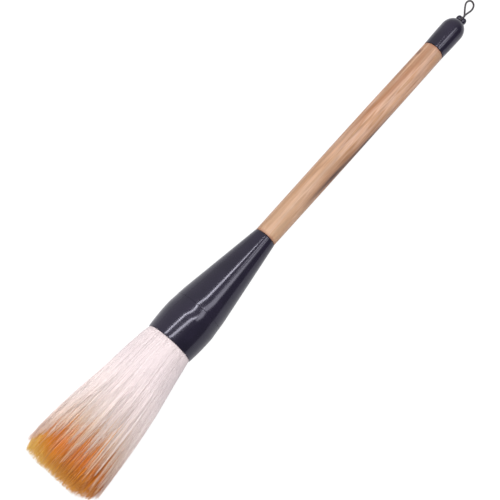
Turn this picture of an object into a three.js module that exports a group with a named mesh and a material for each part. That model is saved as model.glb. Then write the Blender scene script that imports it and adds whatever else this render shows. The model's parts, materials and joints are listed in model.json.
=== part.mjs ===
// A large bowl-ferruled calligraphy brush, lying on a table.
// Millimetres, +Z up. The pieces are drawn along the brush's own axis: x = 0 is the mouth of the
// ferrule, the tuft runs to -x, the handle and the end cap run to +x. The whole brush is then
// tipped until the ferrule cup and the end cap both rest on z = 0.
import * as THREE from 'three';

// ---------------------------------------------------------------- driving dimensions
const GAP = 0.3; // left between neighbouring pieces
const FACETS = 36; // sides of the turned pieces
const SMALL_FACETS = 20; // sides of the small turned pieces

// ferrule
const CUP_LENGTH = 21.6;
const CUP_BELLY_X = 14.2;
const CUP_BELLY_R = 14.15;
const LIP_R = 13.3;
const CUP_BORE_R = 12.6;
const CONE_FRONT_R = 13.5;
const CONE_NECK_X = 24.5; // a short neck runs up to here, then the cone is straight
const CONE_NECK_R = 13.3;
const CONE_END_X = 72.6;
const CONE_END_R = 6.25;
const SPIGOT_LENGTH = 5.1;
const BOWL_R = 10.6;
const BOWL_END_X = 34.6;

// handle
const HANDLE_R = 6.1;
const HANDLE_BELLY = 0.2; // how much fuller the handle is at its middle
const HANDLE_END_X = 212.6;
const FRONT_TENON_R = 3.9;
const FRONT_TENON_LENGTH = 22;
const REAR_TENON_R = 4.2;
const REAR_TENON_LENGTH = 10;

// end cap
const CAP_MOUTH_R = 6.15;
const CAP_SHOULDER_X = 228.4;
const CAP_SHOULDER_R = 6.55;
const CAP_DOME_LENGTH = 7.6; // of the whole dome, half an ellipse, before its top is cut flat
const CAP_TOP_X = 234.9;
const CORD_HOLE_R = 1.45;
const KNOT_CHAMBER_R = 2.6;
const KNOT_CHAMBER_END_X = 229;

// cross bead and cord
const BEAD_X = 237.1;
const BEAD_R = 1.9;
const BEAD_WAIST_R = 0.95;
const BEAD_LOBE_OFFSET = 1.5; // of each lobe's middle, to either side
const BEAD_HALF_LENGTH = 2.8;
const CORD_D = 0.95;
const CORD_SIDES = 8;
const KNOT_X = 226.9;
const KNOT_R = 2.1;

// tuft
const HAIR_LENGTH = 83; // outside the ferrule
const COVER_LENGTH = 79.5; // the white layer ends short of the core
const PIVOT_DEPTH = 9; // the tuft bends about a point this far outside the mouth
const END_ROUNDING = 6;
const SAG = 5.5; // how far the tip of the tuft droops
const FLOOR_CLEARANCE = 0.3;
const ROOT_R = 12.3;
const BOUND_ROOT_R = 10.2;
const ROOT_END_X = 31;
const ROOT_SHOULDER_LENGTH = 3; // over which the bound root narrows
const CORE_ROOT_R = 7.4;
const THREAD_R = 0.45;
const ROOT_BINDING_X = 27;
const WAIST_BINDING_X = 18.4;

// ---------------------------------------------------------------- how the brush lies
const TILT = Math.asin((CUP_BELLY_R - CAP_SHOULDER_R) / (CAP_SHOULDER_X - CUP_BELLY_X));
const facetDepth = Math.cos(Math.PI / FACETS); // a flat of the turned pieces faces down
const REST_HEIGHT = CUP_BELLY_X * Math.sin(TILT) + CUP_BELLY_R * facetDepth * Math.cos(TILT);

// ---------------------------------------------------------------- materials
const finish = (color, roughness) => new THREE.MeshStandardMaterial({ color, roughness, metalness: 0 });
const wood = finish(0xd6b08c, 0.55);
const blackLacquer = finish(0x1d1b22, 0.22);
const whiteHair = finish(0xeadfe0, 0.8);
const goldenHair = finish(0xc4802c, 0.75);
const thread = finish(0xb9a58a, 0.85);
const rosin = finish(0x8a5a20, 0.35);
const cordFibre = finish(0x453c41, 0.8);

// ---------------------------------------------------------------- shape helpers

// Twice the area inside a profile: its sign says which way round the profile runs.
function windingOf(profile) {
  return profile.reduce((sum, [x, r], i) => {
    const [nextX, nextR] = profile[(i + 1) % profile.length];
    return sum + x * nextR - nextX * r;
  }, 0);
}

// Turns a profile of [x, radius] points about the brush's axis, with a flat side facing down.
function turned(profile, sides = FACETS) {
  const points = profile.map(([x, r]) => new THREE.Vector2(r, x));
  if (windingOf(profile) > 0) {
    points.reverse();
  }
  const geometry = new THREE.LatheGeometry(points, sides, Math.PI / sides);
  geometry.rotateZ(-Math.PI / 2);
  return geometry;
}

// Points along a curve r(x), from one x to another.
function along(fromX, toX, steps, radiusAt) {
  return Array.from({ length: steps + 1 }, (_, i) => {
    const x = fromX + ((toX - fromX) * i) / steps;
    return [x, radiusAt(x)];
  });
}

// Points on a circle of the profile plane, centred on [x, r], between two angles from +x.
function arc(centreX, centreR, radius, fromAngle, toAngle, steps) {
  return Array.from({ length: steps + 1 }, (_, i) => {
    const angle = fromAngle + ((toAngle - fromAngle) * i) / steps;
    return [centreX + radius * Math.cos(angle), centreR + radius * Math.sin(angle)];
  });
}

const closed = (profile) => [...profile, profile[0]];

// A round cord along a list of points.
function cord(points) {
  const curve = new THREE.CatmullRomCurve3(points.map(([x, y, z]) => new THREE.Vector3(x, y, z)));
  const section = new THREE.Shape();
  section.absarc(0, 0, CORD_D / 2, 0, Math.PI * 2);
  return new THREE.ExtrudeGeometry(section, {
    curveSegments: CORD_SIDES / 2,
    steps: Math.ceil(curve.getLength() / (2 * CORD_D)),
    extrudePath: curve,
  });
}

// ---------------------------------------------------------------- ferrule
function ferruleCup() {
  const barrel = along(CUP_LENGTH - 2, 1.2, 9, (x) => {
    const reach = x > CUP_BELLY_X ? CUP_LENGTH - CUP_BELLY_X : CUP_BELLY_X;
    const fall = x > CUP_BELLY_X ? CUP_BELLY_R - CONE_FRONT_R : CUP_BELLY_R - LIP_R;
    return CUP_BELLY_R - fall * ((x - CUP_BELLY_X) / reach) ** 2;
  });
  const lipHalf = (LIP_R - CUP_BORE_R) / 2;
  const lip = arc(lipHalf, CUP_BORE_R + lipHalf, lipHalf, Math.PI / 2, (3 * Math.PI) / 2, 4);
  return turned(closed([
    [CUP_LENGTH, CUP_BORE_R],
    [CUP_LENGTH, CONE_FRONT_R],
    ...barrel,
    ...lip,
  ]));
}

function ferruleCone() {
  const spigotX = CUP_LENGTH - SPIGOT_LENGTH;
  const seamX = CUP_LENGTH + GAP;
  const socketR = FRONT_TENON_R + GAP;
  const socketEndX = CONE_END_X - FRONT_TENON_LENGTH - GAP;
  return turned([
    [socketEndX, 0],
    [socketEndX, socketR],
    [CONE_END_X, socketR],
    [CONE_END_X, CONE_END_R],
    [CONE_NECK_X, CONE_NECK_R],
    [seamX, CONE_FRONT_R],
    [seamX, CUP_BORE_R - GAP],
    [spigotX, CUP_BORE_R - GAP],
    [spigotX, BOWL_R],
    [BOWL_END_X, BOWL_R],
    [BOWL_END_X, 0],
  ]);
}

// ---------------------------------------------------------------- handle and end cap
function handleShaft() {
  const frontX = CONE_END_X + GAP;
  const rearX = HANDLE_END_X - GAP;
  const middle = (frontX + rearX) / 2;
  const half = (rearX - frontX) / 2;
  const shaft = along(frontX, rearX, 8, (x) => HANDLE_R + HANDLE_BELLY * (1 - ((x - middle) / half) ** 2));
  return turned([
    [CONE_END_X - FRONT_TENON_LENGTH, 0],
    [CONE_END_X - FRONT_TENON_LENGTH, FRONT_TENON_R],
    [frontX, FRONT_TENON_R],
    ...shaft,
    [rearX, REAR_TENON_R],
    [HANDLE_END_X + REAR_TENON_LENGTH, REAR_TENON_R],
    [HANDLE_END_X + REAR_TENON_LENGTH, 0],
  ]);
}

function endCap() {
  const socketR = REAR_TENON_R + GAP;
  const socketEndX = HANDLE_END_X + REAR_TENON_LENGTH + GAP;
  const dome = along(CAP_SHOULDER_X, CAP_TOP_X, 8, (x) => {
    const rise = (x - CAP_SHOULDER_X) / CAP_DOME_LENGTH;
    return CAP_SHOULDER_R * Math.sqrt(1 - rise ** 2);
  });
  return turned(closed([
    [HANDLE_END_X, socketR],
    [HANDLE_END_X, CAP_MOUTH_R],
    ...dome,
    [CAP_TOP_X, CORD_HOLE_R],
    [KNOT_CHAMBER_END_X, CORD_HOLE_R],
    [KNOT_CHAMBER_END_X, KNOT_CHAMBER_R],
    [socketEndX, KNOT_CHAMBER_R],
    [socketEndX, socketR],
  ]));
}

// ---------------------------------------------------------------- cross bead and cord

// Two round lobes with a waist between them, turned about a line across the brush.
function loopBead() {
  const lobeReach = BEAD_HALF_LENGTH - BEAD_LOBE_OFFSET;
  const halfLobe = along(0, BEAD_HALF_LENGTH, 8, (x) => {
    const fromLobe = (x - BEAD_LOBE_OFFSET) / lobeReach;
    const round = BEAD_R * Math.sqrt(Math.max(0, 1 - fromLobe * fromLobe));
    return x < BEAD_LOBE_OFFSET ? Math.max(BEAD_WAIST_R, round) : round;
  });
  const otherHalf = halfLobe.slice(1).reverse().map(([x, r]) => [-x, r]);
  const geometry = turned([...otherHalf, ...halfLobe], SMALL_FACETS);
  geometry.rotateZ(Math.PI / 2);
  geometry.translate(BEAD_X, 0, 0);
  return geometry;
}

function stopperKnot() {
  return turned(arc(KNOT_X, 0, KNOT_R, Math.PI, 0, 8).map(([x, r]) => [x, Math.max(0, r)]), SMALL_FACETS);
}

// One leg of the cord: from the knot, through the cap's hole and round the bead's waist.
function cordLeg(side) {
  const besideWaist = BEAD_WAIST_R + GAP + CORD_D / 2;
  return cord([
    [KNOT_X + KNOT_R + 2 * GAP, 0, side * 0.68],
    [231.8, 0, side * 0.66],
    [CAP_TOP_X - 0.4, 0, side * 0.72],
    [BEAD_X - 0.9, 0, side * (besideWaist - 0.15)],
    [BEAD_X + 0.2, 0, side * besideWaist],
    [BEAD_X + 1.3, side * -0.05, side * (besideWaist - 0.3)],
    [BEAD_X + 2.2, side * -0.15, side * 0.98],
  ]);
}

// The loop past the bead: the legs meet, cross and open into a drop that lies over to one side.
function hangingLoop() {
  return cord([
    [239.75, 0, 0.9],
    [240.9, 0.6, 0.65],
    [243.3, 2.1, -0.05],
    [245.8, 3.5, -1.1],
    [248.5, 4.65, -2.2],
    [250.9, 4.75, -3.2],
    [252.4, 3.9, -3.95],
    [252.6, 2.55, -4.4],
    [251.7, 1.2, -4.7],
    [249.7, 0.35, -4.6],
    [247.3, 0.15, -3.9],
    [244.4, 0.35, -2.6],
    [242.1, 0.4, -1.5],
    [240.7, 0.25, -1.1],
    [239.75, 0.15, -1],
  ]);
}

// ---------------------------------------------------------------- tuft

// Half the tuft's width at a distance from the mouth, before its end is rounded.
const hairHalfWidth = (depth) => LIP_R + 0.166 * depth - 0.0005 * depth * depth;
const BALL_R = hairHalfWidth(PIVOT_DEPTH);

// The same with the blunt end's edge rounded off.
function hairOutline(depth) {
  const past = Math.max(0, depth - (HAIR_LENGTH - END_ROUNDING)) / END_ROUNDING;
  return hairHalfWidth(depth) - END_ROUNDING * (1 - Math.sqrt(Math.max(0, 1 - past * past)));
}

const coverThickness = (depth) => 4.3 - (2.6 * depth) / HAIR_LENGTH;
const coreOutline = (depth) => hairOutline(depth) - coverThickness(depth);

// Part of the ball about which the tuft bends, between two radii.
function ballArc(ballRadius, fromRadius, toRadius, steps) {
  const fromAngle = Math.asin(fromRadius / ballRadius);
  const toAngle = Math.asin(Math.min(1, toRadius / ballRadius));
  return arc(-PIVOT_DEPTH, 0, ballRadius, fromAngle, toAngle, steps);
}

// The lying tuft droops, and the table flattens its lower side.
function settle(geometry) {
  const position = geometry.attributes.position;
  for (let i = 0; i < position.count; i += 1) {
    const depth = -position.getX(i);
    const z = position.getZ(i);
    const bend = Math.max(0, depth - PIVOT_DEPTH) / (HAIR_LENGTH - PIVOT_DEPTH);
    const droop = SAG * bend * bend;
    const axisHeight = REST_HEIGHT + depth * Math.sin(TILT);
    const room = (axisHeight - FLOOR_CLEARANCE - droop) / hairHalfWidth(depth);
    const flatten = z < 0 && depth > 0 ? Math.min(1, room) : 1;
    position.setZ(i, z * flatten - droop);
  }
  return geometry;
}

function coverHair() {
  const innerR = (x) => coreOutline(-x) + GAP;
  return settle(turned(closed([
    ...ballArc(BALL_R, innerR(-PIVOT_DEPTH), BALL_R, 4),
    ...along(-PIVOT_DEPTH, -COVER_LENGTH, 12, (x) => hairOutline(-x)).slice(1),
    ...along(-COVER_LENGTH, -PIVOT_DEPTH, 12, innerR),
  ])));
}

function coreHair() {
  const coreR = (x) => coreOutline(-x);
  return settle(turned([
    ...ballArc(BALL_R, 0, coreR(-PIVOT_DEPTH), 3),
    ...along(-PIVOT_DEPTH, -COVER_LENGTH, 12, coreR),
    ...along(-COVER_LENGTH, -HAIR_LENGTH, 3, coreR).slice(1),
    [-HAIR_LENGTH, 0],
  ]));
}

// The hair held in the ferrule: a hollow ball socket faces the bending part.
function coverRoot() {
  const socketR = BALL_R + GAP;
  const mouthSocketR = Math.sqrt(socketR ** 2 - PIVOT_DEPTH ** 2);
  const shoulderX = CUP_LENGTH - SPIGOT_LENGTH - GAP;
  const socket = ballArc(socketR, CORE_ROOT_R + GAP, mouthSocketR, 4);
  return turned(closed([
    [0, ROOT_R],
    ...socket.reverse(),
    [ROOT_END_X, CORE_ROOT_R + GAP],
    [ROOT_END_X, BOUND_ROOT_R],
    ...bindingGroove(ROOT_BINDING_X),
    ...bindingGroove(WAIST_BINDING_X),
    [shoulderX, BOUND_ROOT_R],
    [shoulderX - ROOT_SHOULDER_LENGTH, ROOT_R],
  ]));
}

function coreRoot() {
  const socketR = BALL_R + GAP;
  return turned([
    ...ballArc(socketR, 0, CORE_ROOT_R, 2),
    [ROOT_END_X, CORE_ROOT_R],
    [ROOT_END_X, 0],
  ]);
}

// The waist that a thread pulls into the root, from its far side to its near side.
function bindingGroove(x) {
  const half = 3 * THREAD_R + GAP;
  const depth = 2 * THREAD_R + GAP;
  return [
    [x + half, BOUND_ROOT_R],
    [x + half, BOUND_ROOT_R - depth],
    [x - half, BOUND_ROOT_R - depth],
    [x - half, BOUND_ROOT_R],
  ];
}

// Three turns of thread side by side.
function binding(x) {
  const centreR = BOUND_ROOT_R - THREAD_R;
  const turn = (offset) => arc(x + offset, centreR, THREAD_R, Math.PI, 0, 3);
  const outer = [-2 * THREAD_R, 0, 2 * THREAD_R].flatMap((offset, i) => turn(offset).slice(i ? 1 : 0));
  const innerR = centreR - THREAD_R;
  return turned(closed([
    [x - 3 * THREAD_R, innerR],
    ...outer,
    [x + 3 * THREAD_R, innerR],
  ]), SMALL_FACETS);
}

function rosinPlug() {
  return turned([
    [ROOT_END_X + GAP, 0],
    [ROOT_END_X + GAP, BOWL_R - GAP],
    [BOWL_END_X - GAP, BOWL_R - GAP],
    [BOWL_END_X - GAP, 0],
  ]);
}

// ---------------------------------------------------------------- assembly
function mesh(name, geometry, material) {
  const made = new THREE.Mesh(geometry, material);
  made.name = name;
  return made;
}

const solidPieces = [
  mesh('handle_shaft', handleShaft(), wood),
  mesh('ferrule_cone', ferruleCone(), blackLacquer),
  mesh('ferrule_cup', ferruleCup(), blackLacquer),
  mesh('end_cap', endCap(), blackLacquer),
  mesh('cover_hair_root', coverRoot(), whiteHair),
  mesh('core_hair_root', coreRoot(), goldenHair),
  mesh('root_binding', binding(ROOT_BINDING_X), thread),
  mesh('waist_binding', binding(WAIST_BINDING_X), thread),
  mesh('rosin_plug', rosinPlug(), rosin),
  mesh('cover_hair', coverHair(), whiteHair),
  mesh('core_hair', coreHair(), goldenHair),
];
const cordPieces = [
  mesh('loop_bead', loopBead(), blackLacquer),
  mesh('stopper_knot', stopperKnot(), cordFibre),
  mesh('cord_leg_upper', cordLeg(1), cordFibre),
  mesh('cord_leg_lower', cordLeg(-1), cordFibre),
  mesh('hanging_loop', hangingLoop(), cordFibre),
];
const brush = new THREE.Group();
brush.add(...solidPieces, ...cordPieces);
brush.rotation.y = TILT;
brush.position.z = REST_HEIGHT;

// The middle of the brush, without its cord and bead, stands over the origin, and it touches z = 0.
const outline = new THREE.Box3();
brush.updateMatrixWorld(true);
solidPieces.forEach((piece) => outline.expandByObject(piece, true));
brush.position.x = -(outline.min.x + outline.max.x) / 2;
brush.position.z -= outline.min.z;

const part = new THREE.Group();
part.add(brush);
export default part;
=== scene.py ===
"""A bowl-ferruled calligraphy brush lying on a table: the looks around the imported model.

Lengths are in millimetres along the brush's own axes, as in the model's source: x = 0 is the
mouth of the ferrule, the tuft runs to -x, the handle and the end cap run to +x. BRUSH carries
them to the shared frame, in metres.
"""
import json
import math

import bpy
import numpy as np
from mathutils import Matrix, Vector


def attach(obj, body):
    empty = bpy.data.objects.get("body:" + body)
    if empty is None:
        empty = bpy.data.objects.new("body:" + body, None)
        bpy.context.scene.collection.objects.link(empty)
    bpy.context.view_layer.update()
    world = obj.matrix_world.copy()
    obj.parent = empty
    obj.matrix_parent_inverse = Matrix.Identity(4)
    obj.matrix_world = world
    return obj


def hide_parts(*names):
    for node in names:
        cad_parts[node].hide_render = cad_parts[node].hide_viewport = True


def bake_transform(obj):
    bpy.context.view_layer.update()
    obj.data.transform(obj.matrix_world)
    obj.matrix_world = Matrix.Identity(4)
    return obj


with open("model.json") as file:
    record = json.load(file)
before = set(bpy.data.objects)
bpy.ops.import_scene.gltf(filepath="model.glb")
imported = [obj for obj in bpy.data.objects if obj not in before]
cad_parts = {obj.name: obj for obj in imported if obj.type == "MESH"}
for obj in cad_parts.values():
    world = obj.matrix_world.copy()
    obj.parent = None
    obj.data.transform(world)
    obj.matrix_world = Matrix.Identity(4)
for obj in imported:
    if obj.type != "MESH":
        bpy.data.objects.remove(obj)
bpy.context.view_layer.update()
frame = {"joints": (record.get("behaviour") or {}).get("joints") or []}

scene = bpy.context.scene

# ------------------------------------------------------------------ driving dimensions, mm
MM = 0.001
PIVOT_DEPTH = 9.0  # the tuft bends about a point this far outside the mouth
TURNED_SIDES = 160
SMALL_SIDES = 64
EDGE = 0.25  # the break on an edge of a turned piece
SEAM_EDGE = 0.08  # the finer break where two pieces meet in a hairline seam
FITTING_GAP = 0.3  # between a piece inside the ferrule and what holds it

CUP_LENGTH = 21.6
CUP_BELLY_X = 14.2
CUP_BELLY_R = 14.11
LIP_R = 13.3
CUP_BORE_R = 12.6
CONE_X = 21.66  # its front face nearly meets the cup, so the seam is a hairline
CONE_FRONT_R = 13.5
CONE_NECK_X = 24.5
CONE_NECK_R = 13.3
CONE_STRAIGHT_X = 27.5  # the cone is straight from here on
SEAM_SLOPE = -0.07  # of the outline where the cup and the cone meet
CONE_END_X = 72.6
CONE_END_R = 6.25
SPIGOT_X = 16.5
SPIGOT_R = 12.3
BOWL_R = 10.6
BOWL_END_X = 34.6

HANDLE_FRONT_X = 72.9
HANDLE_REAR_X = 212.3
HANDLE_R = 6.1
HANDLE_BELLY = 0.2
FRONT_TENON_R = 3.9
FRONT_TENON_X = 50.6
REAR_TENON_R = 4.2
REAR_TENON_X = 222.6
SOCKET_GAP = 0.3
VEIN_X = 134.0
MARK_X = 205.0
MARK_ANGLE = 0.86  # radians from the top towards +y

CAP_MOUTH_X = 212.6
CAP_MOUTH_R = 6.15
CAP_SHOULDER_X = 228.4
CAP_SHOULDER_R = 6.52
CAP_DOME_LENGTH = 7.6
CAP_TOP_X = 234.9
CORD_HOLE_R = 1.45
KNOT_CHAMBER_R = 2.6
KNOT_CHAMBER_END_X = 229.0

BEAD_X = 237.1
BEAD_R = 2.0
BEAD_WAIST_R = 1.1
BEAD_LOBE_OFFSET = 1.5  # from the bead's middle to the fullest part of a lobe
BEAD_HALF_LENGTH = 3.0
CORD_D = 0.95
CORD_FUZZ = 1.1  # the cord looks this much thicker than it measures, for its loose fibres
KNOT_X = 226.9

HAIR_LENGTH = 83.0
CORE_OVERHANG = 1.4  # the longest golden hairs end this far past the tuft's length
COVER_LENGTH = 79.5
SHORTEST_LOCK = 73.0  # whole white locks end between here and COVER_LENGTH
BARE_STRETCH = 31.0  # the most that a white lock stops short where the core shows
LOCK_POINT = 28.0  # a lock draws to a point over this much of its end
END_ROUNDING = 2.1  # the core narrows by this much in its last millimetres
SAG = 5.5
SIDE_BOW = 1.3
SIDE_GATHER = 0.07  # the share by which the +y side draws in near the tip
FLOOR_CLEARANCE = 0.3
ROOT_DEPTH = -4.0  # the visible strands start this far inside the cup
ROOT_R = 12.3
BOUND_ROOT_R = 10.2
ROOT_END_X = 31.0
CORE_ROOT_R = 7.4
THREAD_R = 0.45
THREAD_TURNS = 3
ROOT_BINDING_X = 27.0
WAIST_BINDING_X = 18.4

# ------------------------------------------------------------------ the brush's axes in the frame
joints = {joint["name"]: joint for joint in frame["joints"]}
along = Vector(joints["bead_swivel"]["axis"])
across = Vector((0, 1, 0))
upward = along.cross(across)
mouth = Vector(joints["tuft_bend"]["pos_m"]) + along * PIVOT_DEPTH * MM
TILT = math.asin(-along.z)
BRUSH = Matrix([[along[i], across[i], upward[i], mouth[i]] for i in range(3)] + [[0, 0, 0, 1]])


# ------------------------------------------------------------------ camera
CAMERA_AZIMUTH = math.radians(-49.5)
CAMERA_ELEVATION = math.radians(73.5)
CAMERA_DISTANCE = 0.598
CAMERA_TARGET = Vector((-0.01238, 0.00185, 0.01007))
CAMERA_LENS = 85


def add_camera():
    back = Vector((
        math.sin(CAMERA_AZIMUTH) * math.cos(CAMERA_ELEVATION),
        -math.cos(CAMERA_AZIMUTH) * math.cos(CAMERA_ELEVATION),
        math.sin(CAMERA_ELEVATION),
    ))
    camera = bpy.data.objects.new("camera", bpy.data.cameras.new("camera"))
    camera.data.lens = CAMERA_LENS
    camera.data.clip_start = 0.01
    camera.location = CAMERA_TARGET + back * CAMERA_DISTANCE
    camera.rotation_euler = back.to_track_quat("Z", "Y").to_euler()
    scene.collection.objects.link(camera)
    scene.camera = camera


add_camera()


# ------------------------------------------------------------------ node helpers
class Shading:
    """Short-hand for building one node tree."""

    def __init__(self, tree):
        self.tree = tree
        tree.nodes.clear()

    def add(self, kind, inputs=None, **settings):
        node = self.tree.nodes.new(kind)
        for key, value in settings.items():
            setattr(node, key, value)
        for key, value in (inputs or {}).items():
            self.feed(node.inputs[key], value)
        return node

    def feed(self, socket, value):
        if isinstance(value, bpy.types.NodeSocket):
            self.tree.links.new(value, socket)
        else:
            socket.default_value = value

    def math(self, operation, *values, clamp=False):
        node = self.add("ShaderNodeMath", operation=operation, use_clamp=clamp)
        for socket, value in zip(node.inputs, values):
            self.feed(socket, value)
        return node.outputs[0]

    def times(self, first, second):
        return self.math("MULTIPLY", first, second)

    def away(self, value, centre):
        """How far a value is from a centre."""
        return self.math("ABSOLUTE", self.math("SUBTRACT", value, centre))

    def mix(self, factor, first, second, blend="MIX"):
        node = self.add("ShaderNodeMix", data_type="RGBA", blend_type=blend)
        self.feed(node.inputs[0], factor)
        self.feed(node.inputs[6], first)
        self.feed(node.inputs[7], second)
        return node.outputs[2]

    def ramp(self, factor, *stops):
        """A colour ramp: each stop is (position, colour or grey level)."""
        node = self.add("ShaderNodeValToRGB", {"Fac": factor})
        elements = node.color_ramp.elements
        while len(elements) < len(stops):
            elements.new(0.5)
        for element, (position, colour) in zip(elements, stops):
            element.position = position
            grey = not isinstance(colour, tuple)
            element.color = (colour, colour, colour, 1) if grey else colour
        return node.outputs["Color"]

    def scaled(self, vector, scale, offset=(0, 0, 0)):
        """A vector stretched along each axis: a small scale draws a texture out along it."""
        mapping = self.add("ShaderNodeMapping", {"Vector": vector, "Scale": scale, "Location": offset})
        return mapping.outputs["Vector"]

    def noise(self, vector, scale, detail=3.0, roughness=0.5):
        node = self.add(
            "ShaderNodeTexNoise",
            {"Vector": vector, "Scale": scale, "Detail": detail, "Roughness": roughness},
        )
        return node.outputs["Fac"]

    def remap(self, value, from_low, from_high, to_low, to_high):
        return self.add("ShaderNodeMapRange", {
            "Value": value,
            "From Min": from_low, "From Max": from_high,
            "To Min": to_low, "To Max": to_high,
        }).outputs["Result"]

    def fade(self, value, full_at, gone_at, full=1.0):
        """`full` up to one value and 0 from another on, with a straight slope between them."""
        return self.remap(value, full_at, gone_at, full, 0.0)

    def attribute(self, name):
        return self.add("ShaderNodeAttribute", attribute_name=name).outputs["Fac"]

    def bump(self, height, strength, distance):
        inputs = {"Height": height, "Strength": strength, "Distance": distance}
        return self.add("ShaderNodeBump", inputs).outputs["Normal"]


def srgb(red, green, blue):
    """A colour given as it is seen, from 0 to 255, for a node's linear socket."""
    def linear(value):
        share = value / 255
        return share / 12.92 if share <= 0.04045 else ((share + 0.055) / 1.055) ** 2.4
    return (linear(red), linear(green), linear(blue), 1.0)


def new_material(name):
    material = bpy.data.materials.new(name)
    material.use_nodes = True
    shading = Shading(material.node_tree)
    surface = shading.add("ShaderNodeBsdfPrincipled")
    output = shading.add("ShaderNodeOutputMaterial")
    shading.tree.links.new(surface.outputs["BSDF"], output.inputs["Surface"])
    coordinates = shading.add("ShaderNodeTexCoord").outputs["Object"]
    return material, shading, surface, coordinates


# ------------------------------------------------------------------ materials
def wood_material():
    """Straight-grained pale hardwood: streaks, fine fibres and short pores, a dark vein on one side
    with painted shade round it, a browner streak on another, a small dark mark near the cap and browned
    ends."""
    material, shading, surface, place = new_material("handle_wood")
    wander = shading.noise(shading.scaled(place, (9, 60, 60)), 1.0, 2)
    swayed = shading.mix(0.0016, place, shading.add(
        "ShaderNodeCombineColor", {0: 0.0, 1: wander, 2: shading.math("SUBTRACT", 1.0, wander)},
    ).outputs[0])
    broad = shading.noise(shading.scaled(swayed, (22, 300, 300)), 1.0, 2)
    middle = shading.noise(shading.scaled(swayed, (50, 950, 950), (3, 1, 2)), 1.0, 2, 0.5)
    fine = shading.noise(shading.scaled(swayed, (170, 3600, 3600), (7, 5, 1)), 1.0, 3, 0.6)
    colour = shading.ramp(
        broad,
        (0.34, srgb(144, 102, 68)),
        (0.43, srgb(164, 127, 98)),
        (0.51, srgb(174, 138, 115)),
        (0.58, srgb(156, 114, 80)),
        (0.68, srgb(154, 126, 99)),
    )
    streaks = shading.ramp(middle, (0.30, 0.70), (0.50, 0.98), (0.66, 1.12))
    colour = shading.mix(0.9, colour, streaks, "MULTIPLY")
    fibres = shading.ramp(fine, (0.30, 0.76), (0.52, 1.0), (0.75, 1.10))
    colour = shading.mix(0.6, colour, fibres, "MULTIPLY")

    x, y, z = shading.add("ShaderNodeSeparateXYZ", {"Vector": place}).outputs
    angle = shading.math("ARCTAN2", y, z)
    drift = shading.times(shading.math("SUBTRACT", wander, 0.5), 0.7)

    def from_line(slope, start):
        """The angle between a point and a slanting line that drifts with the grain."""
        line = shading.math("MULTIPLY_ADD", x, slope, start)
        return shading.math("ABSOLUTE", shading.math("ADD", shading.math("SUBTRACT", angle, line), drift))

    colour = shading.mix(shading.fade(x, 0.100, 0.135, 0.5), colour, srgb(168, 136, 108))
    from_vein = from_line(-8.0, -0.10)
    along_vein = shading.away(x, VEIN_X * MM)
    # Painted shade: a broad brown band round the vein, on the side of the handle turned away from the
    # light.
    painted_side_shade = shading.fade(from_vein, 0.10, 0.85, 0.66)
    painted_side_shade = shading.times(painted_side_shade, shading.fade(along_vein, 0.016, 0.044))
    colour = shading.mix(painted_side_shade, colour, srgb(116, 72, 44))
    vein = shading.fade(from_vein, 0.10, 0.34)
    vein = shading.times(vein, shading.fade(along_vein, 0.014, 0.038))
    vein = shading.times(vein, shading.ramp(middle, (0.40, 1.0), (0.62, 0.6)))
    colour = shading.mix(vein, colour, srgb(56, 30, 22))

    streak = shading.fade(from_line(-7.0, 1.69), 0.05, 0.38, 0.75)
    streak = shading.times(streak, shading.fade(x, 0.160, 0.140))
    colour = shading.mix(streak, colour, srgb(132, 84, 50))
    mark = shading.fade(shading.away(angle, MARK_ANGLE), 0.08, 0.30, 0.9)
    mark = shading.times(mark, shading.fade(shading.away(x, MARK_X * MM), 0.0009, 0.0030))
    colour = shading.mix(mark, colour, srgb(78, 46, 30))
    colour = shading.mix(shading.fade(x, 0.212, 0.165, 0.3), colour, srgb(152, 120, 100))
    front = HANDLE_FRONT_X * MM
    rear = HANDLE_REAR_X * MM
    ends = shading.math(
        "MAXIMUM",
        shading.fade(x, front + 0.0003, front + 0.0016, 0.5),
        shading.fade(x, rear - 0.0002, rear - 0.0015, 0.5),
    )
    colour = shading.mix(ends, colour, srgb(120, 66, 48))

    pore_cells = shading.add("ShaderNodeTexVoronoi", {
        "Vector": shading.scaled(swayed, (160, 2300, 2300)), "Scale": 1.0,
    })
    pores = shading.fade(pore_cells.outputs["Distance"], 0.05, 0.16)
    colour = shading.mix(shading.times(pores, 0.4), colour, srgb(104, 66, 40))
    shading.feed(surface.inputs["Base Color"], colour)
    shading.feed(surface.inputs["Roughness"], shading.remap(middle, 0.3, 0.7, 0.42, 0.58))
    relief = shading.math("SUBTRACT", fine, shading.times(pores, 0.5))
    shading.feed(surface.inputs["Normal"], shading.bump(relief, 0.35, 0.00008))
    return material


def lacquer_material():
    """Near-black lacquer with a violet cast, polished smooth with faint wear."""
    material, shading, surface, place = new_material("black_lacquer")
    cloud = shading.noise(place, 90.0, 3)
    colour = shading.ramp(cloud, (0.3, srgb(19, 17, 29)), (0.7, srgb(27, 23, 37)))
    shading.feed(surface.inputs["Base Color"], colour)
    wear = shading.noise(place, 260.0, 2)
    shading.feed(surface.inputs["Roughness"], shading.remap(wear, 0.35, 0.7, 0.13, 0.16))
    surface.inputs["IOR"].default_value = 1.5
    surface.inputs["Specular Tint"].default_value = (0.87, 0.85, 1.0, 1.0)
    peel = shading.noise(shading.scaled(place, (0.4, 1, 1)), 240.0, 1)
    shading.feed(surface.inputs["Normal"], shading.bump(peel, 0.02, 0.0001))
    return material


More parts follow.
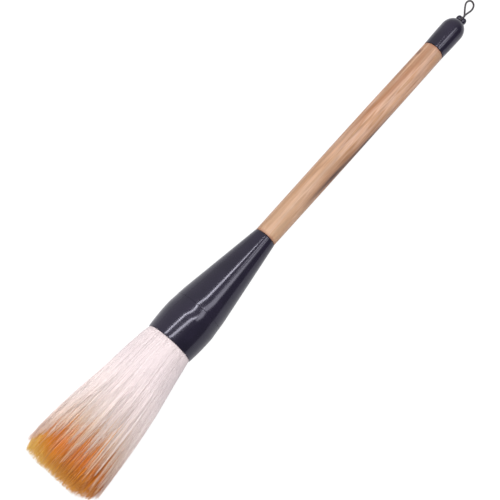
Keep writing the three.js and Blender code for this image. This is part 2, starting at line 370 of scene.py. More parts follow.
def hair_material(name, along_hair, shade, warm):
    """Hair: its colour runs from root to tip, each strand and each lock has its own tone, and warmth
    takes it over to the warm colours."""
    material, shading, surface, place = new_material(name)
    depth = shading.attribute("depth")
    tone = shading.attribute("tone")
    lock = shading.attribute("lock")
    warmth = shading.attribute("warmth")
    colour = shading.ramp(depth, *along_hair)
    spread = shading.ramp(tone, (0.0, shade), (0.5, (1, 1, 1, 1)))
    colour = shading.mix(0.85, colour, spread, "MULTIPLY")
    locks = shading.ramp(lock, (0.0, 0.90), (0.5, 1.0))
    colour = shading.mix(0.8, colour, locks, "MULTIPLY")
    warmer = shading.ramp(warmth, *warm)
    reach = shading.math("MULTIPLY", warmth, 1.6, clamp=True)
    colour = shading.mix(reach, colour, warmer)
    shading.feed(surface.inputs["Base Color"], colour)
    shading.feed(surface.inputs["Roughness"], shading.remap(tone, 0.0, 1.0, 0.45, 0.62))
    surface.inputs["Sheen Weight"].default_value = 0.12
    surface.inputs["Sheen Roughness"].default_value = 0.5
    scales = shading.noise(place, 5200.0, 2)
    shading.feed(surface.inputs["Normal"], shading.bump(scales, 0.15, 0.00003))
    return material


def fibre_material(name, dark, light, fibre_scale, roughness):
    """Spun thread or cord: two tones of fine fibre with a dull finish."""
    material, shading, surface, place = new_material(name)
    fibre = shading.noise(place, fibre_scale, 4, 0.6)
    shading.feed(surface.inputs["Base Color"], shading.ramp(fibre, (0.3, dark), (0.7, light)))
    surface.inputs["Roughness"].default_value = roughness
    surface.inputs["Sheen Weight"].default_value = 0.2
    shading.feed(surface.inputs["Normal"], shading.bump(fibre, 0.5, 0.00005))
    return material


def rosin_material():
    """Set resin: dark amber, glossy, with cloudy inclusions."""
    material, shading, surface, place = new_material("rosin")
    cloud = shading.noise(place, 350.0, 4, 0.6)
    colour = shading.ramp(
        cloud,
        (0.3, srgb(92, 50, 14)),
        (0.55, srgb(150, 92, 30)),
        (0.8, srgb(178, 124, 52)),
    )
    shading.feed(surface.inputs["Base Color"], colour)
    surface.inputs["Roughness"].default_value = 0.22
    shading.feed(surface.inputs["Normal"], shading.bump(cloud, 0.3, 0.0002))
    return material


def floor_material():
    """A plain pale table. To the camera it is lifted towards white, so its shadows stay faint."""
    material, shading, surface, place = new_material("pale_floor")
    mottle = shading.noise(place, 8.0, 2)
    tone = shading.ramp(mottle, (0.3, srgb(196, 196, 198)), (0.7, srgb(200, 200, 202)))
    shading.feed(surface.inputs["Base Color"], tone)
    surface.inputs["Roughness"].default_value = 0.9
    white = shading.add("ShaderNodeEmission", {"Color": (1, 1, 1, 1), "Strength": 1.12})
    seen = shading.add("ShaderNodeLightPath").outputs["Is Camera Ray"]
    lifted = shading.add("ShaderNodeMixShader", {
        0: shading.times(seen, 0.85), 1: surface.outputs["BSDF"], 2: white.outputs["Emission"],
    })
    output = next(node for node in shading.tree.nodes if node.type == "OUTPUT_MATERIAL")
    shading.tree.links.new(lifted.outputs["Shader"], output.inputs["Surface"])
    return material


WOOD = wood_material()
LACQUER = lacquer_material()
WHITE_HAIR = hair_material(
    "white_hair",
    [
        (0.0, srgb(212, 199, 199)), (0.22, srgb(217, 204, 204)), (0.42, srgb(232, 219, 216)),
        (0.60, srgb(240, 227, 222)), (0.95, srgb(246, 215, 196)),
    ],
    srgb(212, 196, 198),
    [(0.1, srgb(242, 216, 192)), (0.45, srgb(232, 184, 122)), (0.9, srgb(214, 134, 38))],
)
GOLDEN_HAIR = hair_material(
    "golden_hair",
    [
        (0.48, srgb(238, 210, 176)), (0.60, srgb(230, 174, 96)), (0.74, srgb(224, 134, 28)),
        (0.84, srgb(222, 124, 8)), (0.95, srgb(222, 138, 14)),
    ],
    srgb(184, 130, 76),
    [(0.0, srgb(228, 160, 26)), (1.0, srgb(244, 206, 96))],
)
THREAD = fibre_material("binding_thread", srgb(120, 100, 78), srgb(196, 176, 146), 4000.0, 0.8)
CORD = fibre_material("loop_cord", srgb(22, 18, 22), srgb(50, 42, 46), 5000.0, 0.72)
ROSIN = rosin_material()


# ------------------------------------------------------------------ mesh helpers
def make_object(name, points, faces, material, attributes=None):
    """A mesh object from points in millimetres of the brush and faces of vertex numbers."""
    mesh = bpy.data.meshes.new(name)
    mesh.from_pydata((np.asarray(points, float) * MM).tolist(), [], faces)
    mesh.polygons.foreach_set("use_smooth", [True] * len(mesh.polygons))
    for key, values in (attributes or {}).items():
        layer = mesh.attributes.new(key, "FLOAT", "POINT")
        layer.data.foreach_set("value", np.asarray(values, np.float32))
    mesh.materials.append(material)
    mesh.update()
    made = bpy.data.objects.new(name, mesh)
    scene.collection.objects.link(made)
    made.matrix_world = BRUSH
    return made


def square_up(made):
    """Puts an object's place into its mesh, so that its box lies square to the table."""
    made.data.transform(made.matrix_world)
    made.matrix_world = Matrix()


def bend_with_tuft(made):
    """Puts a hair object's place into its mesh, so that its box lies square to the table."""
    square_up(made)
    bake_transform(made)


def broken_edges(profile, steps=5):
    """The profile with each corner that states a break cut round by that much."""
    result = []
    count = len(profile)
    for i, (x, r, *mark) in enumerate(profile):
        if not mark:
            result.append((x, r))
            continue
        reach = mark[0]
        corner = np.array((x, r))
        before = np.array(profile[i - 1][:2]) - corner
        after = np.array(profile[(i + 1) % count][:2]) - corner
        first = corner + before / np.linalg.norm(before) * reach
        last = corner + after / np.linalg.norm(after) * reach
        for step in range(steps + 1):
            t = step / steps
            point = (1 - t) ** 2 * first + 2 * t * (1 - t) * corner + t ** 2 * last
            result.append(tuple(point))
    return result


def turned(name, profile, material, sides=TURNED_SIDES, reshape=None, attributes=None):
    """Turns a closed profile of (x, radius) about the brush's axis. Radius 0 makes a pole."""
    angles = np.arange(sides) * 2 * math.pi / sides
    points = []
    rings = []
    for x, r in profile:
        if r < 1e-6:
            rings.append([len(points)])
            points.append((x, 0.0, 0.0))
        else:
            rings.append(list(range(len(points), len(points) + sides)))
            points.extend((x, r * math.sin(a), r * math.cos(a)) for a in angles)
    winding = sum(
        x * profile[(i + 1) % len(profile)][1] - profile[(i + 1) % len(profile)][0] * r
        for i, (x, r) in enumerate(profile)
    )
    if winding < 0:
        rings.reverse()
    faces = []
    for i, ring in enumerate(rings):
        other = rings[(i + 1) % len(rings)]
        if len(ring) == 1 and len(other) == 1:
            continue
        for k in range(sides):
            after = (k + 1) % sides
            if len(ring) == 1:
                faces.append((ring[0], other[after], other[k]))
            elif len(other) == 1:
                faces.append((ring[k], ring[after], other[0]))
            else:
                faces.append((ring[k], ring[after], other[after], other[k]))
    points = np.array(points)
    if reshape:
        points = reshape(points)
    values = attributes(points) if attributes else None
    made = make_object(name, points, faces, material, values)
    made.data.set_sharp_from_angle(angle=math.radians(35))
    return made


def stretch(from_x, to_x, steps, radius_at):
    """Points of a profile along a curve r(x)."""
    return [(x, radius_at(x)) for x in np.linspace(from_x, to_x, steps + 1)]


def smooth_path(points, per_span=8):
    """A Catmull-Rom curve through points, as an array."""
    given = np.array(points, float)
    padded = np.vstack([2 * given[0] - given[1], given, 2 * given[-1] - given[-2]])
    result = []
    for i in range(1, len(padded) - 2):
        a, b, c, d = padded[i - 1:i + 3]
        for t in np.linspace(0, 1, per_span, endpoint=False):
            result.append(0.5 * (
                2 * b + (c - a) * t + (2 * a - 5 * b + 4 * c - d) * t ** 2
                + (3 * b - a - 3 * c + d) * t ** 3
            ))
    result.append(given[-1])
    return np.array(result)


def carried_frames(path, loop=False):
    """Two directions square to the path at each point, carried along it without twist."""
    if loop:
        tangents = np.roll(path, -1, 0) - np.roll(path, 1, 0)
    else:
        tangents = np.gradient(path, axis=0)
    tangents /= np.linalg.norm(tangents, axis=1, keepdims=True)
    start = np.cross(tangents[0], (0.3, 0.9, 0.2))
    normals = [start / np.linalg.norm(start)]
    for tangent in tangents[1:]:
        moved = normals[-1] - tangent * np.dot(normals[-1], tangent)
        normals.append(moved / np.linalg.norm(moved))
    normals = np.array(normals)
    return normals, np.cross(tangents, normals)


def laid_cord(name, path, radius, material, plies=3, pitch=2.2, sides=24, loop=False):
    """A twisted cord along a path: its section has one lobe for each ply and turns as it goes."""
    first, second = carried_frames(path, loop)
    lengths = np.concatenate([[0], np.cumsum(np.linalg.norm(np.diff(path, axis=0), axis=1))])
    points = []
    for centre, side, up, length in zip(path, first, second, lengths):
        turn = 2 * math.pi * length / (pitch * plies)
        for k in range(sides):
            angle = 2 * math.pi * k / sides
            ply = abs(math.cos(plies * (angle - turn) / 2))
            reach = radius * (0.88 + 0.12 * math.sqrt(ply))
            points.append(centre + reach * (math.cos(angle) * side + math.sin(angle) * up))
    count = len(path)
    spans = count if loop else count - 1
    faces = []
    for i in range(spans):
        here, there = i * sides, ((i + 1) % count) * sides
        for k in range(sides):
            after = (k + 1) % sides
            faces.append((here + k, here + after, there + after, there + k))
    if not loop:
        faces.append(tuple(reversed(range(sides))))
        faces.append(tuple(range((count - 1) * sides, count * sides)))
    return make_object(name, points, faces, material)


# ------------------------------------------------------------------ hanging cord
def cord_leg(side):
    """One leg of the cord, from the knot out through the cap's hole and round the bead's waist."""
    return [
        (229.6, 0, side * 0.68),
        (231.8, 0, side * 0.66),
        (234.5, 0, side * 0.72),
        (236.2, 0, side * 1.575),
        (237.3, 0, side * 1.725),
        (238.4, side * -0.05, side * 1.425),
        (239.3, side * -0.15, side * 0.98),
    ]


HANGING_LOOP = [
    (239.75, 0, 0.9),
    (240.9, 0.6, 0.65),
    (243.3, 2.1, -0.05),
    (245.8, 3.5, -1.1),
    (248.5, 4.65, -2.2),
    (250.9, 4.75, -3.2),
    (252.4, 3.9, -3.95),
    (252.6, 2.55, -4.4),
    (251.7, 1.2, -4.7),
    (249.7, 0.35, -4.6),
    (247.3, 0.15, -3.9),
    (244.4, 0.35, -2.6),
    (242.1, 0.4, -1.5),
    (240.7, 0.25, -1.1),
    (239.75, 0.15, -1),
]
cord_path = smooth_path(cord_leg(1) + HANGING_LOOP + cord_leg(-1)[::-1])

hanging_cord = laid_cord("hanging_cord", cord_path, CORD_D / 2 * CORD_FUZZ, CORD)
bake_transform(hanging_cord)
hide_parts("cord_leg_upper", "cord_leg_lower", "hanging_loop")


def knot_in_cap():
    """An overhand knot drawn up tight: a trefoil of cord."""
    t = np.linspace(0, 2 * math.pi, 96, endpoint=False)
    size = 0.47
    path = np.column_stack([
        KNOT_X + size * 1.25 * -np.sin(3 * t),
        size * (np.sin(t) + 2 * np.sin(2 * t)),
        size * (np.cos(t) - 2 * np.cos(2 * t)),
    ])
    made = laid_cord("overhand_knot", path, CORD_D / 2 * CORD_FUZZ, CORD, loop=True)
    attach(made, "bead")
    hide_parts("stopper_knot")
    return made


def cross_bead():
    """Two round lobes with a waist between them, turned about a line across the brush."""
    reach = BEAD_HALF_LENGTH - BEAD_LOBE_OFFSET

    def radius_at(x):
        fullness = math.sqrt(max(0.0, 1 - ((abs(x) - BEAD_LOBE_OFFSET) / reach) ** 2))
        if abs(x) > BEAD_LOBE_OFFSET:
            return BEAD_R * fullness
        return BEAD_WAIST_R + (BEAD_R - BEAD_WAIST_R) * fullness

    stations = np.cos(np.linspace(math.pi, 0, 65))[1:-1] * BEAD_HALF_LENGTH
    profile = [
        (-BEAD_HALF_LENGTH, 0.0),
        *[(x, radius_at(x)) for x in stations],
        (BEAD_HALF_LENGTH, 0.0),
    ]

    def across_the_brush(points):
        x, y, z = points.T
        return np.column_stack([BEAD_X - y, x, z])

    made = turned("cross_bead", profile, LACQUER, SMALL_SIDES, across_the_brush)
    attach(made, "bead")
    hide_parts("loop_bead")
    return made


overhand_knot = knot_in_cap()
bead = cross_bead()


# ------------------------------------------------------------------ ferrule
def eased(x, start, end):
    """The radius at x on a cubic between two stations, each an (x, radius, slope)."""
    (x0, r0, slope0), (x1, r1, slope1) = start, end
    span = x1 - x0
    t = (x - x0) / span
    return (
        (2 * t ** 3 - 3 * t ** 2 + 1) * r0 + (t ** 3 - 2 * t ** 2 + t) * slope0 * span
        + (3 * t ** 2 - 2 * t ** 3) * r1 + (t ** 3 - t ** 2) * slope1 * span
    )


def barrel_radius(x):
    if x > CUP_BELLY_X:
        return eased(x, (CUP_BELLY_X, CUP_BELLY_R, 0.0), (CUP_LENGTH, CONE_FRONT_R, SEAM_SLOPE))
    return CUP_BELLY_R - (CUP_BELLY_R - LIP_R) * ((x - CUP_BELLY_X) / CUP_BELLY_X) ** 2


def cone_radius(x):
    slope = (CONE_END_R - CONE_NECK_R) / (CONE_END_X - CONE_NECK_X)
    if x > CONE_STRAIGHT_X:
        return CONE_NECK_R + slope * (x - CONE_NECK_X)
    straight_r = CONE_NECK_R + slope * (CONE_STRAIGHT_X - CONE_NECK_X)
    return eased(x, (CONE_X, CONE_FRONT_R, SEAM_SLOPE), (CONE_STRAIGHT_X, straight_r, slope))


def ferrule():
    lip = (LIP_R - CUP_BORE_R) / 2
    lip_round = [
        (lip + lip * math.cos(a), CUP_BORE_R + lip + lip * math.sin(a))
        for a in np.linspace(math.pi / 2, 3 * math.pi / 2, 13)
    ]
    cup = [
        (CUP_LENGTH, CUP_BORE_R),
        (CUP_LENGTH, CONE_FRONT_R, SEAM_EDGE),
        *stretch(CUP_LENGTH - 0.3, 1.0, 48, barrel_radius),
        *lip_round,
    ]
    cone = [
        (FRONT_TENON_X - SOCKET_GAP, 0),
        (FRONT_TENON_X - SOCKET_GAP, FRONT_TENON_R + SOCKET_GAP),
        (CONE_END_X, FRONT_TENON_R + SOCKET_GAP, EDGE),
        (CONE_END_X, CONE_END_R, EDGE),
        *stretch(CONE_END_X - 1, CONE_STRAIGHT_X, 24, cone_radius),
        *stretch(CONE_STRAIGHT_X - 0.4, CONE_X + 0.3, 16, cone_radius),
        (CONE_X, CONE_FRONT_R, SEAM_EDGE),
        (CONE_X, SPIGOT_R),
        (SPIGOT_X, SPIGOT_R, EDGE),
        (SPIGOT_X, BOWL_R, EDGE),
        (BOWL_END_X, BOWL_R),
        (BOWL_END_X, 0),
    ]
    for name, profile, node in (("barrel_cup", cup, "ferrule_cup"), ("long_cone", cone, "ferrule_cone")):
        made = turned(name, broken_edges(profile), LACQUER)
        square_up(made)
        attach(made, "handle")
        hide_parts(node)


# ------------------------------------------------------------------ handle and end cap
def handle():
    middle = (HANDLE_FRONT_X + HANDLE_REAR_X) / 2
    half = (HANDLE_REAR_X - HANDLE_FRONT_X) / 2

    def stick_radius(x):
        return HANDLE_R + HANDLE_BELLY * (1 - ((x - middle) / half) ** 2)

    profile = [
        (FRONT_TENON_X, 0),
        (FRONT_TENON_X, FRONT_TENON_R, EDGE),
        (HANDLE_FRONT_X, FRONT_TENON_R),
        (HANDLE_FRONT_X, HANDLE_R, EDGE),
        *stretch(HANDLE_FRONT_X + 0.8, HANDLE_REAR_X - 0.8, 90, stick_radius),
        (HANDLE_REAR_X, HANDLE_R, EDGE),
        (HANDLE_REAR_X, REAR_TENON_R),
        (REAR_TENON_X, REAR_TENON_R, EDGE),
        (REAR_TENON_X, 0),
    ]

    def hand_sanded(points):
        """Long shallow flats and waves that sanding leaves, a few hundredths of a millimetre."""
        x, y, z = points.T
        angle = np.arctan2(y, z)
        radius = np.hypot(y, z)
        wave = 0.022 * np.sin(3 * angle + x / 31) + 0.014 * np.sin(7 * angle - x / 17 + 1.3)
        wave += 0.012 * np.sin(x / 11 + 2 * angle)
        scale = np.where(radius > REAR_TENON_R + 1, 1 + wave / np.maximum(radius, 1), 1)
        return np.column_stack([x, y * scale, z * scale])

    made = turned("wooden_stick", broken_edges(profile), WOOD, reshape=hand_sanded)
    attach(made, "handle")
    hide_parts("handle_shaft")


def end_cap():
    def side_radius(x):
        share = (x - CAP_MOUTH_X) / (CAP_SHOULDER_X - CAP_MOUTH_X)
        return CAP_MOUTH_R + (CAP_SHOULDER_R - CAP_MOUTH_R) * math.sin(share * math.pi / 2)

    def dome_radius(x):
        return CAP_SHOULDER_R * math.sqrt(1 - ((x - CAP_SHOULDER_X) / CAP_DOME_LENGTH) ** 2)

    dome = CAP_SHOULDER_X + np.sin(np.linspace(0, math.pi / 2, 25)) * (CAP_TOP_X - CAP_SHOULDER_X)
    profile = [
        (CAP_MOUTH_X, REAR_TENON_R + SOCKET_GAP),
        (CAP_MOUTH_X, CAP_MOUTH_R, SEAM_EDGE),
        *stretch(CAP_MOUTH_X + 0.8, CAP_SHOULDER_X - 1, 16, side_radius),
        *[(x, dome_radius(x)) for x in dome],
        (CAP_TOP_X, CORD_HOLE_R, EDGE),
        (KNOT_CHAMBER_END_X, CORD_HOLE_R),
        (KNOT_CHAMBER_END_X, KNOT_CHAMBER_R),
        (REAR_TENON_X + SOCKET_GAP, KNOT_CHAMBER_R),
        (REAR_TENON_X + SOCKET_GAP, REAR_TENON_R + SOCKET_GAP),
    ]
    made = turned("bullet_cap", broken_edges(profile), LACQUER)
    square_up(made)
    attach(made, "handle")
    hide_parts("end_cap")


# ------------------------------------------------------------------ tuft shape
def hair_half_width(depth):
    """Half of the free tuft's width at a depth outside the mouth: it flares, ever more slowly."""
    return LIP_R + 0.166 * depth - 0.0005 * depth ** 2


def smoothstep(low, high, value):
    t = np.clip((np.asarray(value, float) - low) / (high - low), 0, 1)
    return t * t * (3 - 2 * t)


def settle(points):
    """The lying tuft droops and bows a little to -y, its +y side draws in near the tip, and the
    table flattens its lower side."""
    x, y, z = points.T
    depth = -x
    y = y * (1 - SIDE_GATHER * smoothstep(45, 78, depth) * (y > 0))
    y = y - SIDE_BOW * smoothstep(4, 34, depth) * (1 - 0.6 * smoothstep(45, 80, depth))
    bend = np.maximum(0, depth - PIVOT_DEPTH) / (HAIR_LENGTH - PIVOT_DEPTH)
    droop = SAG * bend ** 2
    axis_height = mouth.z / MM + depth * math.sin(TILT)
    room = (axis_height - FLOOR_CLEARANCE - droop) / hair_half_width(depth)
    flatten = np.where((z < 0) & (depth > 0), np.minimum(1, room), 1)
    lowest = FLOOR_CLEARANCE * 0.6 - axis_height
    settled = z * flatten - droop
    return np.column_stack([x, y, np.where(depth > 0, np.maximum(settled, lowest), settled)])


def radius_in_tuft(depth, share):
    """Where a hair runs that holds this share of the tuft's radius, from inside the cup outwards."""
    held = (CUP_BORE_R - 0.25) * share
    free = hair_half_width(np.maximum(depth, 0)) * share
    return held + (free - held) * smoothstep(-0.2, 1.6, depth)


# ------------------------------------------------------------------ hair
STRAND_STEPS = 10
CORE_STEPS = 7
random = np.random.default_rng(20)


def strands(name, paths, radii, material, slot, **attributes):
    """Three-sided tapering tubes along paths (strand, step, xyz), closed at both ends."""
    count, steps, _ = paths.shape
    settled = settle(paths.reshape(-1, 3)).reshape(paths.shape)
    tangents = np.gradient(settled, axis=1)
    tangents /= np.linalg.norm(tangents, axis=2, keepdims=True)
    side = np.cross(tangents, np.array((0.0, 0.3, 1.0)))
    side /= np.linalg.norm(side, axis=2, keepdims=True)
    up = np.cross(tangents, side)
    spin = random.uniform(0, 2 * math.pi, (count, 1, 1))
    corners = []
    for k in range(3):
        angle = spin + 2 * math.pi * k / 3
        corners.append(settled + radii[..., None] * (np.cos(angle) * side + np.sin(angle) * up))
    points = np.stack(corners, axis=2).reshape(-1, 3)
    base = (np.arange(count) * steps * 3)[:, None]
    ring = (np.arange(steps - 1) * 3)[None, :] + base
    quads = [
        np.stack([ring + k, ring + (k + 1) % 3, ring + 3 + (k + 1) % 3, ring + 3 + k], axis=-1)
        for k in range(3)
    ]
    faces = np.concatenate([quad.reshape(-1, 4) for quad in quads]).tolist()
    faces += np.column_stack([base[:, 0] + 2, base[:, 0] + 1, base[:, 0]]).tolist()
    last = base[:, 0] + (steps - 1) * 3
    faces += np.column_stack([last, last + 1, last + 2]).tolist()
    per_point = {
        key: np.repeat(np.broadcast_to(value, (count, steps)).reshape(-1), 3)
        for key, value in attributes.items()
    }
    made = make_object(name, points, faces, material, per_point)
    bend_with_tuft(made)
    return made


def bare_side(angle):
    """How far the white layer stops short and lets the golden core show, from 0 to 1, by the angle
    from the top of the lying tuft towards +y."""
    return smoothstep(1.35, 0.25, angle) * smoothstep(-1.85, -0.95, angle)


def faded_in(values, depth, start=6.0, end=46.0, least=0.12):
    """Values about 0.5 that hardly differ near the ferrule, where the hair is held tight."""
    return 0.5 + (values - 0.5) * (least + (1 - least) * smoothstep(start, end, depth))


def cover_layer(name, locks, per_lock, share, thickness, gathered):
    """White hair in pointed locks, which end at different depths."""
    steps = STRAND_STEPS
    even = np.arange(locks) * 2 * math.pi / locks - math.pi
    stray = random.uniform(-0.3, 0.3, locks) * 2 * math.pi / locks
    centre = even + stray
    bare = bare_side(centre) * random.uniform(0.45, 1.0, locks)
    full = random.uniform(SHORTEST_LOCK, COVER_LENGTH, locks)
    ends = full - bare * BARE_STRETCH * (1 - random.beta(0.8, 1.1, locks))
    lean = random.normal(0, 0.030, locks)
    lock_tone = random.uniform(0, 1, locks)
    lock_lift = random.uniform(-0.007, 0.007, locks)

    which = np.repeat(np.arange(locks), per_lock)
    count = len(which)
    offset = random.uniform(-1, 1, count) * 1.25 * math.pi / locks
    offset += random.normal(0, 0.25, count) * math.pi / locks
    end = ends[which] - random.uniform(0, 1, count) ** 2 * (4 + 12 * bare[which])
    t = np.linspace(0, 1, steps)[None, :]
    depth = ROOT_DEPTH + (end[:, None] - ROOT_DEPTH) * t
    free = smoothstep(14, 62, depth)
    lock_end = ends[which][:, None]
    gather = 1 - gathered * smoothstep(lock_end - LOCK_POINT, lock_end + 2, depth)
    wave = random.uniform(0, 2 * math.pi, (count, 1))
    angle = (even[which] + 0.2 * stray[which])[:, None] + 0.8 * stray[which][:, None] * free
    angle = angle + lean[which][:, None] * np.clip(depth / 80, 0, 1) ** 1.5
    angle = angle + offset[:, None] * gather + 0.010 * np.sin(depth / 13 + wave) * free
    spread = (lock_lift[which] + random.normal(0, 0.010, count))[:, None] * free
    crown = 0.018 * (1 - gather)
    radius = radius_in_tuft(depth, share + spread + crown)
    paths = np.stack([-depth, radius * np.sin(angle), radius * np.cos(angle)], axis=-1)
    taper = 1 - 0.75 * smoothstep(0.55, 1.0, t)
    radii = random.uniform(0.8, 1.25, (count, 1)) * thickness * taper
    warmth = bare[which][:, None] * smoothstep(34, 74, depth) * random.uniform(0.2, 1.0, (count, 1))
    return strands(
        name, paths, radii, WHITE_HAIR, "white_hair",
        depth=np.clip(depth / HAIR_LENGTH, 0, 1),
        tone=faded_in(random.uniform(0, 1, (count, 1)), depth),
        lock=faded_in(lock_tone[which][:, None], depth),
        warmth=warmth,
    )


def loose_hairs(name, count, thickness):
    """Single white hairs that stray from their locks and reach out over the gold."""
    steps = STRAND_STEPS
    turn = random.uniform(-math.pi, math.pi, count)[:, None]
    start = random.uniform(14, 34, (count, 1))
    end = random.uniform(60, HAIR_LENGTH - 1, (count, 1))
    t = np.linspace(0, 1, steps)[None, :]
    depth = start + (end - start) * t
    angle = turn + random.normal(0, 0.07, (count, 1)) * t ** 1.5
    share = 0.965 + random.uniform(0.0, 0.045, (count, 1)) * t ** 2
    radius = radius_in_tuft(depth, share)
    paths = np.stack([-depth, radius * np.sin(angle), radius * np.cos(angle)], axis=-1)
    radii = random.uniform(0.8, 1.2, (count, 1)) * thickness * (1 - 0.7 * t ** 2)
    return strands(
        name, paths, radii, WHITE_HAIR, "white_hair",
        depth=np.clip(depth / HAIR_LENGTH, 0, 1),
        tone=faded_in(random.uniform(0.2, 1, (count, 1)), depth),
        lock=0.5,
        warmth=0.45 * bare_side(turn) * smoothstep(40, 80, depth),
    )


def core_layer(name, count, shares, thickness, start_depth, even=False):
    """Golden hair, cut nearly level at the blunt end. Even layers fill the end's whole face."""
    steps = CORE_STEPS
    if even:
        turn = np.arange(count) * math.pi * (3 - math.sqrt(5))
        share = shares[1] * np.sqrt((np.arange(count) + 0.5) / count)
    else:
        turn = random.uniform(-math.pi, math.pi, count)
        share = random.uniform(*shares, count)
    sideways = np.sin(turn) * share  # from -1 at the -y side to 1 at the +y side
    to_side = smoothstep(0.5, 1.0, np.abs(sideways))
    cut = (2.2 - 1.2 * sideways) * to_side
    end = HAIR_LENGTH + CORE_OVERHANG - cut - (4.0 + 3.0 * to_side) * random.uniform(0, 1, count)
    t = np.linspace(0, 1, steps)[None, :]
    depth = start_depth + (end[:, None] - start_depth) * t
    wave = random.uniform(0, 2 * math.pi, (count, 1))
    angle = turn[:, None] + 0.012 * np.sin(depth / 9 + wave) + random.normal(0, 0.014, (count, 1)) * t
    radius = radius_in_tuft(depth, share[:, None]) * (1 + random.normal(0, 0.012, (count, 1)) * t)
    rounded = smoothstep(HAIR_LENGTH - 8, HAIR_LENGTH, depth)
    radius = radius - END_ROUNDING * rounded * share[:, None]
    paths = np.stack([-depth, radius * np.sin(angle), radius * np.cos(angle)], axis=-1)
    radii = random.uniform(0.8, 1.25, (count, 1)) * thickness * (1 - 0.7 * smoothstep(0.8, 1.0, t))
    # The ends turn from orange to ochre, more of them and further back on the +y side.
    plus_side = smoothstep(0.10, 0.75, sideways)[:, None]
    ochre = 0.60 + 0.38 * sideways[:, None]
    ochre_from = HAIR_LENGTH - 7 - 11 * plus_side
    ochre_full = HAIR_LENGTH - 4 * plus_side
    return strands(
        name, paths, radii, GOLDEN_HAIR, "golden_hair",
        depth=np.clip(depth / HAIR_LENGTH, 0, 1),
        tone=faded_in(random.uniform(0, 1, (count, 1)), depth, 30, 66),
        lock=np.clip(0.5 + 0.5 * np.sin(turn * 11) + random.normal(0, 0.2, count), 0, 1)[:, None],
        warmth=ochre * smoothstep(ochre_from, ochre_full, depth) * random.uniform(0.4, 1.0, (count, 1)),
    )


def hair_bed():
    """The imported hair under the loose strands, grooved lengthwise."""
    share = 0.86
    end_depth = HAIR_LENGTH - 5.5
    edge = 5.0

    def bed_radius(depth):
        past = max(0.0, depth - (end_depth - edge)) / edge
        return radius_in_tuft(depth, share) - edge * 0.7 * (1 - math.sqrt(max(0.0, 1 - past ** 2)))

    outer = [(-depth, float(bed_radius(depth))) for depth in np.linspace(ROOT_DEPTH, end_depth, 60)]
    profile = [(-ROOT_DEPTH, 0), *outer, (-end_depth, 0)]

    def grooved(points):
        x, y, z = points.T
        angle = np.arctan2(y, z)
        groove = 0.010 * np.sin(40 * angle + x / 25) + 0.006 * np.sin(23 * angle - x / 14)
        scale = 1 + groove * smoothstep(6, 40, -x)
        return settle(np.column_stack([x, y * scale, z * scale]))

    def tones(points):
        x, y, z = points.T
        angle = np.arctan2(y, z)
        return {
            "depth": np.clip(-x / HAIR_LENGTH, 0, 1),
            "tone": 0.5 + 0.4 * np.sin(40 * angle + x / 25),
            "lock": 0.5 + 0.4 * np.sin(9 * angle),
            "warmth": np.zeros(len(x)),
        }

    made = turned("hair_bed", profile, GOLDEN_HAIR, 240, grooved, tones)
    bend_with_tuft(made)


def tuft():
    hair_bed()
    core = core_layer("core_hair_outer", 1500, (0.86, 0.945), 0.12, 30.0)
    core_layer("core_hair_end", 1000, (0.0, 0.88), 0.13, 62.0, even=True)
    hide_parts("core_hair")
    cover = cover_layer("cover_hair_under", 84, 16, 0.945, 0.13, 0.45)
    cover_layer("cover_hair_middle", 104, 14, 0.960, 0.11, 0.65)
    cover_layer("cover_hair_top", 120, 12, 0.975, 0.10, 0.80)
    loose_hairs("loose_hairs", 260, 0.07)
    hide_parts("cover_hair")


# ------------------------------------------------------------------ hidden inside the ferrule
def root_bundle(name, profile, material, node):
    """The hair's bound root, with a ridge for each lock of hair."""
    def ridged(points):
        x, y, z = points.T
        scale = 1 + 0.006 * np.sin(48 * np.arctan2(y, z))
        return np.column_stack([x, y * scale, z * scale])

    def tones(points):
        x, y, z = points.T
        return {
            "depth": np.zeros(len(x)),
            "tone": 0.5 + 0.5 * np.sin(48 * np.arctan2(y, z)),
            "lock": 0.5 + 0.5 * np.sin(7 * np.arctan2(y, z)),
            "warmth": np.zeros(len(x)),
        }

    made = turned(name, broken_edges(profile), material, 192, ridged, tones)
    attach(made, "handle")
    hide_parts(node)


def groove_for(binding_x):
    """The outline of the groove that a binding lies in."""
    half = THREAD_TURNS * THREAD_R + FITTING_GAP
    depth = 2 * THREAD_R + FITTING_GAP
    return [
        (binding_x + half, BOUND_ROOT_R, EDGE),
        (binding_x + half, BOUND_ROOT_R - depth),
        (binding_x - half, BOUND_ROOT_R - depth),
        (binding_x - half, BOUND_ROOT_R, EDGE),
    ]


def binding(name, x, node):
    """Turns of thread side by side, wound as one helix."""
    radius = BOUND_ROOT_R - THREAD_R
    t = np.linspace(0, THREAD_TURNS, THREAD_TURNS * 72 + 1)
    pitch = 2 * THREAD_R
    path = np.column_stack([
        x + (t / THREAD_TURNS - 0.5) * pitch * (THREAD_TURNS - 1),
        radius * np.sin(2 * math.pi * t),
        radius * np.cos(2 * math.pi * t),
    ])
    made = laid_cord(name, path, THREAD_R, THREAD, plies=2, pitch=1.8, sides=12)
    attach(made, "handle")
    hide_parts(node)


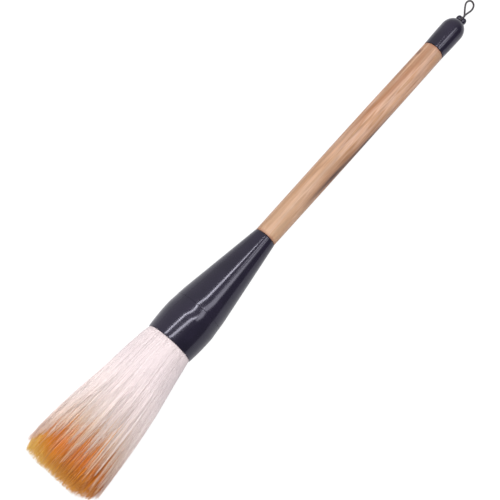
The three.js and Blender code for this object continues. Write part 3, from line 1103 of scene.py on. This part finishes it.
def inside_the_ferrule():
    start_x = -ROOT_DEPTH + FITTING_GAP
    shoulder_x = SPIGOT_X - FITTING_GAP
    cover = [
        (start_x, CORE_ROOT_R + FITTING_GAP),
        (ROOT_END_X, CORE_ROOT_R + FITTING_GAP),
        (ROOT_END_X, BOUND_ROOT_R, EDGE),
        *groove_for(ROOT_BINDING_X),
        *groove_for(WAIST_BINDING_X),
        (shoulder_x, BOUND_ROOT_R),
        (shoulder_x - 3, ROOT_R),
        (start_x, ROOT_R),
    ]
    core = [
        (start_x, 0),
        (start_x, CORE_ROOT_R, EDGE),
        (ROOT_END_X, CORE_ROOT_R, EDGE),
        (ROOT_END_X, 0),
    ]
    root_bundle("cover_root_bundle", cover, WHITE_HAIR, "cover_hair_root")
    root_bundle("core_root_bundle", core, GOLDEN_HAIR, "core_hair_root")
    binding("root_thread", ROOT_BINDING_X, "root_binding")
    binding("waist_thread", WAIST_BINDING_X, "waist_binding")

    face_x = ROOT_END_X + FITTING_GAP
    back_x = BOWL_END_X - FITTING_GAP
    wall_r = BOWL_R - FITTING_GAP
    hollow = [(face_x + 0.6 * (1 - (r / wall_r) ** 2), r) for r in np.linspace(0, wall_r, 12)]
    made = turned("rosin_disc", [*hollow, *broken_edges([(back_x, wall_r), (back_x, 0)])], ROSIN)
    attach(made, "handle")
    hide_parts("rosin_plug")


# ------------------------------------------------------------------ table and light
TABLE_HALF = 2.0
LIGHT_HEIGHT = 0.70


def add_floor():
    corners = [(x * TABLE_HALF, y * TABLE_HALF, 0) for x, y in ((-1, -1), (1, -1), (1, 1), (-1, 1))]
    mesh = bpy.data.meshes.new("table_top")
    mesh.from_pydata(corners, [], [(0, 1, 2, 3)])
    mesh.materials.append(floor_material())
    floor = bpy.data.objects.new("table_top", mesh)
    scene.collection.objects.link(floor)


def softbox(name, centre, length, width, radiance, direction_degrees=0.0, aimed=False):
    """A rectangular light. It faces straight down, or is aimed at the origin and isn't mirrored."""
    light = bpy.data.lights.new(name, "AREA")
    light.shape = "RECTANGLE"
    light.size = length
    light.size_y = width
    light.energy = radiance * math.pi * length * width
    holder = bpy.data.objects.new(name, light)
    holder.location = centre
    holder.rotation_euler = (0, 0, math.radians(direction_degrees))
    if aimed:
        holder.rotation_euler = Vector(centre).to_track_quat("Z", "Y").to_euler()
        holder.visible_glossy = False
    holder.visible_camera = False
    scene.collection.objects.link(holder)


def add_world():
    """A pale studio. What the lacquer mirrors of it is brighter on the +y side."""
    world = bpy.data.worlds.new("studio")
    world.use_nodes = True
    scene.world = world
    shading = Shading(world.node_tree)
    direction = shading.add("ShaderNodeTexCoord").outputs["Generated"]
    y = shading.add("ShaderNodeSeparateXYZ", {"Vector": direction}).outputs["Y"]
    level = shading.ramp(
        shading.remap(y, -1.0, 1.0, 0.0, 1.0),
        (0.20, srgb(128, 126, 132)),
        (0.46, srgb(224, 222, 226)),
        (0.80, srgb(240, 238, 240)),
    )
    path = shading.add("ShaderNodeLightPath").outputs
    colour = shading.mix(path["Is Diffuse Ray"], level, srgb(246, 246, 250))
    colour = shading.mix(path["Is Camera Ray"], colour, (1, 1, 1, 1))
    background = shading.add("ShaderNodeBackground", {"Color": colour, "Strength": 0.95})
    output = shading.add("ShaderNodeOutputWorld")
    shading.tree.links.new(background.outputs["Background"], output.inputs["Surface"])


ferrule()
handle()
end_cap()
tuft()
inside_the_ferrule()
add_floor()
softbox("strip_near", (0.147, 0.189, LIGHT_HEIGHT), 0.765, 0.06, 18, -40.5)
softbox("strip_far_front", (0.042, -0.0995, LIGHT_HEIGHT), 0.558, 0.07, 12.5, -46.2)
softbox("strip_far_back", (0.406, -0.522, LIGHT_HEIGHT), 0.495, 0.20, 4.8, -46.2)
softbox("strip_far_end", (0.670, -0.755, LIGHT_HEIGHT), 0.20, 0.26, 1.3, -46.2)
softbox("strip_cap", (0.550, -0.365, LIGHT_HEIGHT), 0.22, 0.12, 5.5, -46.0)
softbox("key", (-0.60, 0.35, 0.80), 1.0, 1.0, 0.9, aimed=True)
add_world()
scene.view_settings.view_transform = "Standard"
